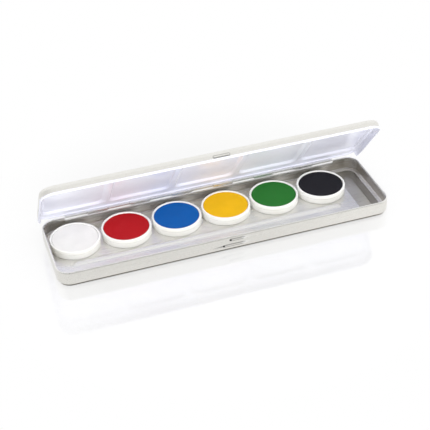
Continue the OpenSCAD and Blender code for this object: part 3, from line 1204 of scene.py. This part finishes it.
    def build(self) -> None:
        """Builds and enters the tray and its knuckles, and gives the wire its finish."""
        enter(self.tray(), "tin", "tinplate", self.shelf.tin, "base_tray")
        enter(self.knuckles(), "tin", "tinplate", self.shelf.bright_tin, "base_tray")
        wire = frame["nodes"]["hinge_wire"]
        for slot in wire.material_slots:
            slot.material = self.shelf.wire
        LOG.info("hinge_wire keeps its CAD mesh")


@dataclass
class Lid:
    """The lid shell and the white mixing palette inside it, drawn shut and turned open."""

    hinge: Hinge
    tin: Tin
    shelf: FinishShelf
    row: KnuckleRow
    lid_h: float = 5.9
    liner_in: float = 0.4
    liner_t: float = 0.3
    edge_r: float = 2.0
    bead_h: float = 1.4
    bead_out: float = 0.45
    well_depth: float = 1.3
    well_count: int = 5
    divider_w: float = 4.4
    well_margin: float = 2.2
    well_side: float = 7.0
    well_r: float = 4.0
    well_slope: float = 1.6
    full_skirt_y: float = 23.4
    catch_x: float = 2.0
    oval_rise: float = 1.05
    oval_l: float = 10.4
    oval_r: float = 0.9
    oval_out: float = 0.3

    @property
    def shell_in(self) -> float:
        """How far the inside of the shell stands out from the tray."""
        return self.liner_in + self.liner_t

    @property
    def shell_out(self) -> float:
        """How far the outside of the shell stands out from the tray."""
        return self.shell_in + self.hinge.sheet_t

    @property
    def top_z(self) -> float:
        """Height of the top of the shut lid."""
        return self.tin.rim_z + self.lid_h

    @property
    def land_z(self) -> float:
        """Height of the mixing surface between the wells."""
        return self.top_z - self.hinge.sheet_t - self.liner_t - self.well_depth

    @property
    def back_cut_z(self) -> float:
        """Height of the skirt's foot over the hinge."""
        return self.hinge.axis_z + self.hinge.knuckle_r + self.tin.notch_clearance

    @property
    def oval(self) -> PressedMark:
        """The oval pressed in the front of the lid."""
        return PressedMark(self.catch_x, self.tin.rim_z + self.bead_h + self.oval_rise, self.oval_l,
                           self.oval_r, self.oval_out)

    def plan(self, extra_x: Iterable[float] = (), extra_y: Iterable[float] = ()) -> Outline:
        """The lid's plan, which is the tray's, with the stations of the oval.

        Args:
            extra_x: More stations on the long sides.
            extra_y: More stations on the short sides.

        Returns:
            The plan, which every ring of the lid grows from.
        """
        stops_x = list(self.oval.stations()) + spread(-100, 100, 8.0) + list(extra_x)
        base = Outline(self.tin.half_l, self.tin.half_w, self.tin.corner_r, arc_steps=16)
        return base.with_stops(stops_x, list(spread(-20, 20, 5.0)) + list(extra_y))

    def form(self, point: EdgePoint, grow: float, z: float) -> tuple[float, float, float]:
        """Cuts the skirt up over the hinge and presses the oval.

        Args:
            point: Point of the ring with its outward direction.
            grow: How far the ring stands out from the outline.
            z: Height of the ring, lid shut.

        Returns:
            The moved point.
        """
        x, y, nx, ny = point
        rim_z = self.tin.rim_z
        cut = smooth((y - self.full_skirt_y + 0.15) / 0.6)
        if cut > 0 and z < self.land_z:
            share = (self.land_z - z) / (self.land_z - rim_z)
            z += cut * ((self.land_z - share * (self.land_z - self.back_cut_z)) - z)
            tuck = cut * max(0.0, grow - self.shell_out)
            x, y = x - nx * tuck, y - ny * tuck
        if ny < -STRAIGHT and self.shell_in - TOUCH < grow < self.shell_out + TOUCH:
            y -= self.oval.lift(x, z)
        return (x, y, z)

    def crease(self, x: float, y: float, z: float) -> float:
        """Gives the share of painted shade on the front skirt round the oval.

        Args:
            x: Place along the lid.
            y: Place across it.
            z: Height, lid shut.

        Returns:
            The share, from 0 to 1.
        """
        if y > -self.tin.half_w - self.shell_out + TOUCH:
            return 0.0
        # Painted shade along the oval's outline.
        return 0.42 * self.oval.edge(x, z)

    def shell(self) -> bpy.types.Object:
        """Builds the tin shell: inner skin first, then round the foot and over the top.

        Returns:
            The shell, open at its resting angle.
        """
        t = self.hinge.sheet_t
        foot = self.tin.rim_z + self.bead_h / 2
        inner, outer, r = self.shell_in, self.shell_out, self.edge_r
        top = self.top_z
        lines = [Bend(inner - r - 1.0, top - t)] + rolled((outer - r, top - r), r - t, 90, 0, 8)
        lines += upright(inner, top - r - 0.3, foot, 0.25) + [Bend((inner + outer) / 2, foot - 0.02)]
        lines += upright(outer, foot, top - r - 0.3, 0.2, wear=0.15)
        lines += rolled((outer - r, top - r), r, 0, 90, 12, wear=0.35) + [Bend(outer - r - 1.0, top)]
        sheet = PressedSheet(self.plan(), lines, lambda x, y: top - t, lambda x, y: top, self.form,
                             self.crease)
        return sheet.draft().finish("lid_sheet", self.hinge.opened())

    def well_edges(self) -> tuple[float, float, list[float]]:
        """Works out where the wells lie.

        Returns:
            Half a well's length, half its width and the middle of each well.
        """
        span = 2 * (self.tin.half_l + self.liner_in - self.well_margin)
        length = (span - (self.well_count - 1) * self.divider_w) / self.well_count
        half_w = self.tin.half_w + self.liner_in - self.well_side
        pitch = length + self.divider_w
        middles = [(k - (self.well_count - 1) / 2) * pitch for k in range(self.well_count)]
        return length / 2, half_w, middles

    def basin(self, x: float, y: float) -> float:
        """Gives how deep the mixing surface is pressed at a point.

        Args:
            x: Place along the lid.
            y: Place across it.

        Returns:
            The share of the depth, from 0 on the land to 1 in a well.
        """
        half_l, half_w, middles = self.well_edges()
        middle = min(middles, key=lambda m: abs(x - m))
        over_x = abs(x - middle) - half_l + self.well_r
        over_y = abs(y) - half_w + self.well_r
        outside = math.hypot(max(0.0, over_x), max(0.0, over_y)) + min(0.0, max(over_x, over_y))
        return smooth(0.5 - (outside - self.well_r) / self.well_slope)

    def palette(self) -> bpy.types.Object:
        """Builds the white palette: wells, skirt and the rolled bead round the rim.

        Returns:
            The palette, open at its resting angle.
        """
        half_l, half_w, middles = self.well_edges()
        near = [-4.0, -3.0, -2.2, -1.5, -0.9, -0.55, -0.3, 0.0, 0.3, 0.55, 0.9]
        stops_x = [m + side * (half_l + s) for m in middles for side in (-1, 1) for s in near]
        stops_y = [side * (half_w + s) for side in (-1, 1) for s in near]
        rim, inner, outer = self.tin.rim_z, self.liner_in, self.shell_out + self.bead_out
        bead_r, head_r, fillet = 0.55, 0.4, 0.9
        head = rim + self.bead_h
        lines = [Bend(inner - 1.4, self.land_z)]
        lines += rolled((inner - fillet, self.land_z - fillet), fillet, 90, 0, 6)
        lines += upright(inner, self.land_z - 1.3, rim + 0.8, 0.35)
        # On the white palette these bead marks set painted shade, not rubbing.
        lines += rolled((inner + bead_r, rim + bead_r), bead_r, 180, 270, 6, wear=0.5)
        lines += rolled((outer - bead_r, rim + bead_r), bead_r, 270, 360, 6, wear=0.5)
        lines += rolled((outer - head_r, head - head_r), head_r, 0, 90, 5, wear=0.5)
        lines += [Bend(self.shell_in + 0.1, head - 0.05), Bend(self.shell_in - 0.01, head - 0.3)]
        lines += upright(self.shell_in - 0.02, head, self.land_z - 0.4, 0.8)
        lines += [Bend(inner - 1.2, self.land_z + self.liner_t)]
        sheet = PressedSheet(
            self.plan(stops_x, stops_y), lines,
            lambda x, y: self.land_z + self.well_depth * self.basin(x, y),
            lambda x, y: self.land_z + self.liner_t + self.well_depth * self.basin(x, y), self.form)
        return sheet.draft().finish("mixing_palette", self.hinge.opened())

    def knuckles(self) -> bpy.types.Object:
        """Rolls the lid's knuckles: a tab of the back skirt goes down and round the wire.

        Returns:
            The row of seven.
        """
        hinge = self.hinge
        middle = hinge.bore_r + hinge.sheet_t / 2
        tab_y = self.tin.half_w + self.shell_in + hinge.sheet_t / 2
        line = [(tab_y, z) for z in spread(self.back_cut_z + 0.9, hinge.axis_z + 0.95, 0.4)]
        line += arc((hinge.axis_y, hinge.axis_z), middle, 58, -225, 26)
        piece = hinge.strip("lid_knuckles", line, hinge.knuckle_l, hinge.opened())
        self.row.apply(piece, hinge.lid_count, 2 * hinge.knuckle_l * MM, self.shelf.bright_tin)
        return piece

    def build(self) -> None:
        """Builds and enters the shell, its knuckles and the palette."""
        enter(self.shell(), "lid", "tinplate", self.shelf.tin, "lid_shell")
        enter(self.knuckles(), "lid", "tinplate", self.shelf.bright_tin, "lid_shell")
        enter(self.palette(), "lid", "palette_white", self.shelf.enamel, "palette_liner")


@dataclass
class PanPlate:
    """The bright plate that the pans stand on, with a pressed rib in front of them and painted shade
    toward its right end.
    """

    shelf: FinishShelf
    corner_r: float = 6.5
    thickness: float = 0.3
    rib_w: float = 5.6
    rib_h: float = 1.3
    rib_inset: float = 9.7
    rib_reach: float = 3.6
    rib_y: float = -9.5
    # Painted shade toward the right end: its strength, where it starts and over what length it comes in.
    haze: float = 0.16
    shade_from_x: float = 60.0
    shade_run: float = 26.0

    def build(self) -> None:
        """Builds and enters the plate."""
        low, high = box_mm("pan_plate")
        half_l, half_w = (high.x - low.x) / 2, (high.y - low.y) / 2
        middle = (high.x + low.x) / 2
        ends = (low.x + self.rib_inset + self.rib_w / 2, high.x - self.rib_inset + 0.2 - self.rib_w / 2)
        reach = self.rib_reach
        stops_x = [end - middle + s for end in ends for s in spread(-reach, reach, 0.45)]
        stops_x += spread(-half_l, half_l, 6.0)
        stops_y = [self.rib_y + s for s in spread(-reach, reach, 0.3)] + spread(-19, 19, 4.0)
        outline = Outline(half_l, half_w, self.corner_r, middle).with_stops(stops_x, stops_y)

        def rib(x: float, y: float) -> float:
            """Gives the height of the rib.

            Args:
                x: Place along the plate.
                y: Place across it.

            Returns:
                The height over the plate.
            """
            past = max(0.0, ends[0] - x, x - ends[1])
            away = math.hypot(past, y - self.rib_y) / (0.56 * self.rib_w)
            return self.rib_h * (0.5 + 0.5 * math.cos(math.pi * min(1.0, away)))

        bottom, top = low.z + 0.02, low.z + self.thickness
        lines = [Bend(-0.6, bottom), Bend(-0.1, bottom, 0.6), Bend(0.0, bottom + 0.1, 0.8),
                 Bend(0.0, top - 0.1, 0.8), Bend(-0.1, top, 0.8), Bend(-0.6, top)]
        sheet = PressedSheet(outline, lines, lambda x, y: bottom + rib(x, y), lambda x, y: top + rib(x, y),
                             # Painted shade, darker toward the right end.
                             crease=lambda x, y, z: self.haze * smooth((x - self.shade_from_x) / self.shade_run))
        piece = sheet.draft().finish("pan_rest_plate")
        enter(piece, "tin", "tinplate", self.shelf.bright_tin, "pan_plate")


@dataclass
class Pan:
    """One round pan: a white cup and the cake of paint in it."""

    pigment: Pigment
    shelf: FinishShelf
    wall: float = 1.25
    floor: float = 0.8
    rim_round: float = 0.42
    groove_r: float = 0.12
    line_share: float = 0.6
    foot: float = 0.3
    dish: float = 0.14

    def build(self) -> None:
        """Builds and enters the cup and the cake."""
        word = self.pigment.word
        # Each piece gets a band of painted shade: the cut line round the cup, the ring round the cake.
        for kind, node, slot, finish, profile, dull in (
                ("cup_", "pan_", "pan_plastic", self.shelf.plastic, self.cup_profile, self.groove_shade),
                ("cake_", "paint_", "paint_" + word, self.shelf.paint[self.pigment],
                 self.cake_profile, self.seam)):
            low, high = box_mm(node + word)
            centre = ((low.x + high.x) / 2, (low.y + high.y) / 2)
            draft = turned(profile((high.x - low.x) / 2, low.z, high.z), centre, dull(low.z, high.z))
            enter(draft.finish(kind + word, sharp=50), word + "_pan", slot, finish, node + word)

    def groove_shade(self, low: float, high: float) -> tuple[float, float]:
        """Gives the lower and upper edge of the painted shade in the line round a cup."""
        line_z = low + self.line_share * (high - low)
        return line_z - 0.1, line_z + 0.1

    def seam(self, low: float, high: float) -> tuple[float, float]:
        """Gives the lower and upper edge of the painted shade ring between a cake and its cup."""
        return low + 1.0, high - 0.12

    def cup_profile(self, r: float, low: float, high: float) -> list[tuple[float, float]]:
        """The cup's section.

        Args:
            r: Outside radius.
            low: Height of its foot.
            high: Height of its rim.

        Returns:
            Radius and height of each line, from under the middle to the middle of its floor.
        """
        inner = r - self.wall
        line_z = low + self.line_share * (high - low)
        points = [(0.0, low + self.foot), (inner - 1.25, low + self.foot), (inner - 1.1, low + 0.06)]
        points += [(inner - 1.0, low)]
        points += arc((r - 0.35, low + 0.35), 0.35, 270, 360, 5)
        points += arc((r, line_z), self.groove_r, 270, 90, 6)
        points += arc((r - self.rim_round, high - self.rim_round), self.rim_round, 0, 90, 7)
        points += arc((inner + 0.3, high - 0.3), 0.3, 90, 180, 5)
        points += arc((inner - 0.4, low + self.floor + 0.4), 0.4, 360, 270, 4)
        return points + [(0.0, low + self.floor)]

    def cake_profile(self, r: float, low: float, high: float) -> list[tuple[float, float]]:
        """The cake's section: its edge is rolled and its face a little dished.

        Args:
            r: Radius of the cake.
            low: Height of its underside.
            high: Height of its edge.

        Returns:
            Radius and height of each line, from under the middle to the middle of its face.
        """
        points = [(0.0, low + 0.02), (r - 0.5, low + 0.02), (r, low + 0.5)]
        points += [(r, high - 0.45 - s) for s in (0.8, 0.4)]
        points += arc((r - 0.45, high - 0.45), 0.45, 0, 90, 7)
        flat = r - 0.7
        points += [(flat * (1 - s), high - self.dish * smooth(s * 4)) for s in spread(0.0, 0.95, 0.05)]
        return points + [(0.0, high - self.dish)]


# ---------------------------------------------------------------- studio

@dataclass
class Studio:
    """A white floor, a white room, soft lamps and the camera."""

    target: tuple[float, float, float] = (1.967, 9.735, 0.0)
    distance: float = 670.05
    azimuth: float = -17.169
    elevation: float = 35.609
    roll: float = -2.278
    lens: float = 91.94
    floor_half: float = 6.0
    floor_gap: float = 0.0001
    near_glow: float = 0.45
    mirror_glow: float = 0.96
    dim_side: tuple[float, float, float] = (-0.7, -1.3, -0.9)
    dim_light: float = 0.2
    dim_floor: float = 0.89
    room_light: float = 0.72

    def build(self) -> None:
        """Builds everything round the object."""
        self.floor()
        self.room()
        self.lamp("top_softbox", (0.0, -0.5, 1.5), (0.0, 0.0, 0.0), 2.2, 10.5)
        self.lamp("side_softbox", (1.3, -0.5, 0.6), (0.0, 0.0, 0.0), 0.9, 3.6)
        self.lamp("front_softbox", (-0.2, -1.4, 0.3), (0.0, 0.0, 0.02), 1.1, 24.0)
        self.camera()
        bpy.context.scene.view_settings.view_transform = "Standard"

    def floor(self) -> None:
        """A glossy white floor that looks white to the camera but keeps shadow and reflection."""
        half = self.floor_half
        mesh = bpy.data.meshes.new("floor")
        mesh.from_pydata([(-half, -half, 0), (half, -half, 0), (half, half, 0), (-half, half, 0)],
                         [], [(0, 1, 2, 3)])
        floor = bpy.data.objects.new("floor", mesh)
        floor.location.z = -self.floor_gap
        bpy.context.scene.collection.objects.link(floor)
        material = bpy.data.materials.new("Floor white")
        material.use_nodes = True
        web = Web(material.node_tree)
        shader = material.node_tree.nodes["Principled BSDF"]
        for name, value in (("Base Color", (0.9, 0.9, 0.9, 1.0)), ("Roughness", 0.07), ("Metallic", 0.45)):
            web.join(value, shader, name)
        path = web.add("ShaderNodeLightPath").outputs
        place = web.add("ShaderNodeTexCoord").outputs["Object"]
        across = web.add("ShaderNodeSeparateXYZ", {0: place}).outputs["X"]
        far = web.add("ShaderNodeVectorMath", {0: place}, operation="LENGTH").outputs["Value"]
        mirrored = web.span(across, self.dim_floor, 1.0, 0.02, 0.085)
        strength = web.add("ShaderNodeMix", {0: path["Is Glossy Ray"], 2: 1.0, 3: mirrored}).outputs[0]
        seen = web.math("MULTIPLY", path["Is Camera Ray"], web.span(far, self.near_glow, 1.0, 0.085, 0.15))
        share = web.math("MULTIPLY_ADD", path["Is Glossy Ray"], self.mirror_glow, seen)
        glow = web.add("ShaderNodeEmission", {"Color": WHITE, "Strength": strength})
        mixed = web.add("ShaderNodeMixShader", {0: share, 1: shader.outputs[0], 2: glow.outputs[0]})
        web.join(mixed.outputs[0], material.node_tree.nodes["Material Output"], "Surface")
        mesh.materials.append(material)

    def room(self) -> None:
        """White to the camera, and a moderate even light on the rest.

        In reflections it is white too, and falls off to a dimmer room at the front and the left.
        """
        world = bpy.data.worlds.new("White room")
        bpy.context.scene.world = world
        world.use_nodes = True
        web = Web(world.node_tree)
        path = web.add("ShaderNodeLightPath").outputs
        seen = web.math("ADD", path["Is Camera Ray"], path["Is Transmission Ray"], clamp=True)
        side = web.add("ShaderNodeVectorMath", {
            0: web.add("ShaderNodeTexCoord").outputs["Generated"], 1: self.dim_side},
            operation="DOT_PRODUCT")
        mirrored = web.span(side.outputs["Value"], 1.0, self.dim_light)
        plain = web.span(seen, self.room_light, 1.0)
        strength = web.add("ShaderNodeMix", {0: path["Is Glossy Ray"], 2: plain, 3: mirrored}).outputs[0]
        background = world.node_tree.nodes["Background"]
        web.join(WHITE, background, "Color")
        web.join(strength, background, "Strength")

    def lamp(self, name: str, place: tuple[float, float, float], at: tuple[float, float, float],
             size: float, power: float) -> None:
        """Adds a square softbox.

        Args:
            name: Name of the lamp.
            place: Where it hangs, in metres.
            at: What it looks at.
            size: Length of its side.
            power: Its power in watts.
        """
        data = bpy.data.lights.new(name, "AREA")
        data.size = size
        data.energy = power
        lamp = bpy.data.objects.new(name, data)
        lamp.location = place
        lamp.visible_glossy = False
        lamp.rotation_euler = (Vector(at) - Vector(place)).to_track_quat("-Z", "Y").to_euler()
        bpy.context.scene.collection.objects.link(lamp)

    def camera(self) -> None:
        """Adds the camera."""
        az, el, roll = (math.radians(a) for a in (self.azimuth, self.elevation, self.roll))
        away = Vector((math.sin(az) * math.cos(el), -math.cos(az) * math.cos(el), math.sin(el)))
        place = (Vector(self.target) + away * self.distance) * MM
        right = (-away).cross(Vector((0, 0, 1))).normalized()
        up = right.cross(-away)
        turned_right = right * math.cos(roll) + up * math.sin(roll)
        turned_up = up * math.cos(roll) - right * math.sin(roll)
        data = bpy.data.cameras.new("camera")
        data.lens = self.lens
        data.sensor_width = 36.0
        data.clip_start = 0.01
        data.clip_end = 50.0
        camera = bpy.data.objects.new("camera", data)
        camera.matrix_world = Matrix((
            (turned_right.x, turned_up.x, away.x, place.x),
            (turned_right.y, turned_up.y, away.y, place.y),
            (turned_right.z, turned_up.z, away.z, place.z),
            (0.0, 0.0, 0.0, 1.0)))
        bpy.context.scene.collection.objects.link(camera)
        bpy.context.scene.camera = camera


def main() -> None:
    """Builds the sub-assemblies in order, then the studio."""
    logging.basicConfig(level=logging.INFO, format="%(name)s: %(message)s")
    shelf = FinishShelf()
    hinge = Hinge()
    row = KnuckleRow()
    tin = Tin(hinge, shelf, row)
    tin.build()
    Lid(hinge, tin, shelf, row).build()
    PanPlate(shelf).build()
    for pigment in Pigment:
        Pan(pigment, shelf).build()
    Studio().build()


if __name__ == "__main__":
    main()
